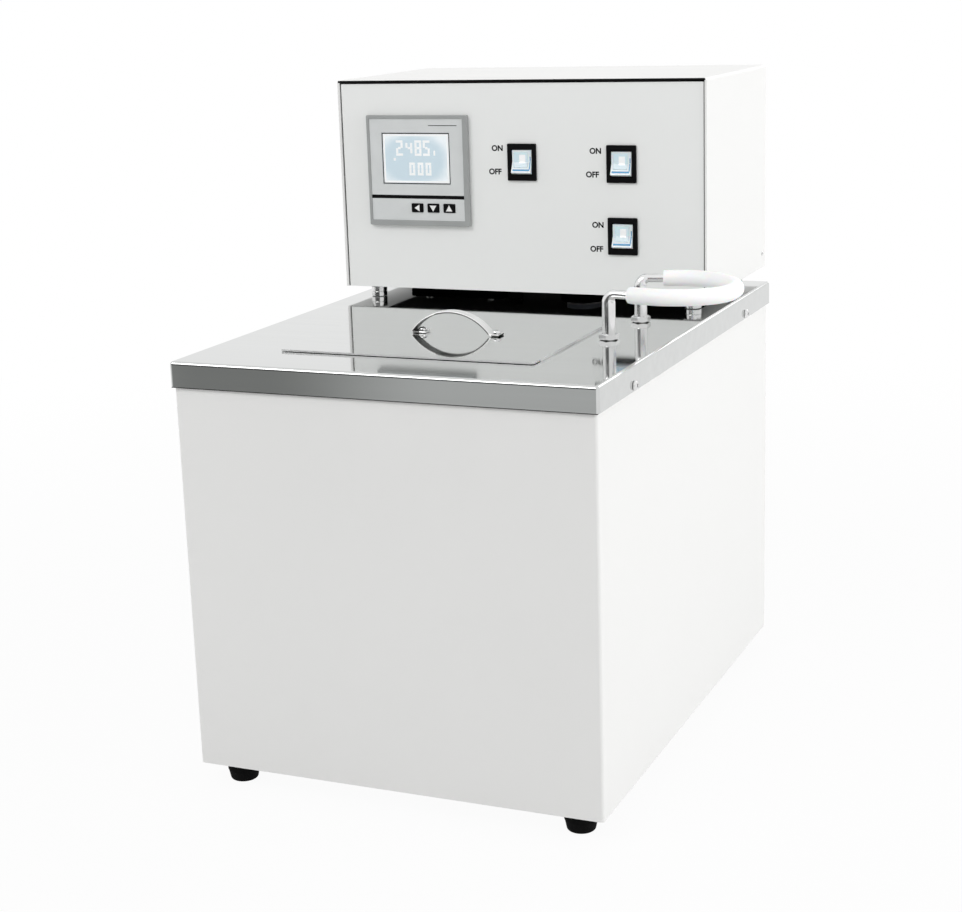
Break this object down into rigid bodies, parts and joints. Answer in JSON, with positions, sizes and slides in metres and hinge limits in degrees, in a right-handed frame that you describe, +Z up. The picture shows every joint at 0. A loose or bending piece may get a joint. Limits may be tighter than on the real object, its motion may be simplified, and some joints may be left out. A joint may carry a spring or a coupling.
{
  "type": "laboratory oil bath",
  "caption": "Bench-top heated oil bath: insulated tank under a loose lid, control head on posts with rocker switches and a temperature controller, and pipes bridged by a hose.",
  "frame": {"origin": "on the bench, under the middle of the space that casing and head take together, without the hose", "axes": "+Z up, -Y towards the user at the front with the lid, +X towards the side with the pipes and hose"},
  "size_m": [0.3965, 0.4918, 0.5406],
  "materials": {
    "case_paint": "smooth white powder coat",
    "panel_paint": "smooth light grey powder coat",
    "stainless": "bright rolled sheet",
    "bright_steel": "polished",
    "zinc_steel": "zinc plated",
    "black_rubber": "matt",
    "black_plastic": "fine moulded",
    "grey_plastic": "fine moulded",
    "rocker_plastic": "pale blue translucent",
    "white_plastic": "moulded",
    "display_glass": "lit liquid crystal",
    "silicone": "milky silicone",
    "mineral_wool": "fibrous",
    "motor_paint": "dark enamel",
    "bronze": "sintered",
    "brass": "plain",
    "dark_enamel": "matt black heat-proof paint"
  },
  "bodies": {
    "bath": {"base_casing": "case_paint", "base_plate": "zinc_steel", "foot_front_left": "black_rubber", "foot_front_right": "black_rubber", "foot_rear_left": "black_rubber", "foot_rear_right": "black_rubber", "top_plate": "stainless", "inner_tank": "stainless", "tank_insulation": "mineral_wool", "rim_screw_front_left": "bright_steel", "rim_screw_front_right": "bright_steel", "rim_screw_rear_left": "bright_steel", "rim_screw_rear_right": "bright_steel", "return_pipe": "bright_steel", "return_pipe_nut": "bright_steel", "outlet_pipe": "bright_steel", "outlet_pipe_nut": "bright_steel", "circulation_hose": "silicone", "head_post_front_left": "bright_steel", "head_post_front_right": "bright_steel", "head_post_rear_left": "bright_steel", "head_post_rear_right": "bright_steel", "head_tray": "dark_enamel", "head_cover": "case_paint", "front_panel": "panel_paint", "rear_panel": "case_paint", "controller_housing": "grey_plastic", "controller_window": "display_glass", "power_switch_frame": "black_plastic", "circulation_switch_frame": "black_plastic", "heating_switch_frame": "black_plastic", "pump_motor": "motor_paint", "pump_column": "stainless", "shaft_bearing": "bronze", "pump_housing": "stainless", "delivery_pipe": "stainless", "heating_element": "stainless", "heater_flange": "zinc_steel", "temperature_probe": "stainless", "heater_relay": "black_plastic", "terminal_strip": "white_plastic", "mains_inlet": "black_plastic", "inlet_pin_line": "brass", "inlet_pin_earth": "brass", "inlet_pin_neutral": "brass"},
    "lid_body": {"lid": "stainless", "lid_locating_ring": "stainless", "lid_handle": "bright_steel", "handle_screw_left": "bright_steel", "handle_screw_right": "bright_steel"},
    "power_rocker_body": {"power_rocker": "rocker_plastic"},
    "circulation_rocker_body": {"circulation_rocker": "rocker_plastic"},
    "heating_rocker_body": {"heating_rocker": "rocker_plastic"},
    "shift_key_body": {"key_shift": "black_plastic"},
    "down_key_body": {"key_down": "black_plastic"},
    "up_key_body": {"key_up": "black_plastic"},
    "pump_rotor": {"pump_shaft": "bright_steel", "pump_impeller": "stainless", "motor_fan": "black_plastic"}
  },
  "joints": [
    {"name": "lid_lift", "type": "slide", "parent": "bath", "child": "lid_body", "axis": [0, 0, 1], "range_m": [0, 0.12]},
    {"name": "power_switch", "type": "hinge", "parent": "bath", "child": "power_rocker_body", "pos_m": [-0.0017, 0.06055, 0.4706], "axis": [1, 0, 0], "range_deg": [0, 22]},
    {"name": "circulation_switch", "type": "hinge", "parent": "bath", "child": "circulation_rocker_body", "pos_m": [0.088, 0.06055, 0.4698], "axis": [1, 0, 0], "range_deg": [0, 22]},
    {"name": "heating_switch", "type": "hinge", "parent": "bath", "child": "heating_rocker_body", "pos_m": [0.0884, 0.06055, 0.409], "axis": [1, 0, 0], "range_deg": [0, 22]},
    {"name": "shift_key_press", "type": "slide", "parent": "bath", "child": "shift_key_body", "axis": [0, 1, 0], "range_m": [0, 0.0008], "stiffness_N_per_m": 600, "springref_m": -0.0008},
    {"name": "down_key_press", "type": "slide", "parent": "bath", "child": "down_key_body", "axis": [0, 1, 0], "range_m": [0, 0.0008], "stiffness_N_per_m": 600, "springref_m": -0.0008},
    {"name": "up_key_press", "type": "slide", "parent": "bath", "child": "up_key_body", "axis": [0, 1, 0], "range_m": [0, 0.0008], "stiffness_N_per_m": 600, "springref_m": -0.0008},
    {"name": "pump_spin", "type": "hinge", "parent": "bath", "child": "pump_rotor", "pos_m": [0.035, 0.10635, 0.3], "axis": [0, 0, 1], "continuous": true}
  ]
}
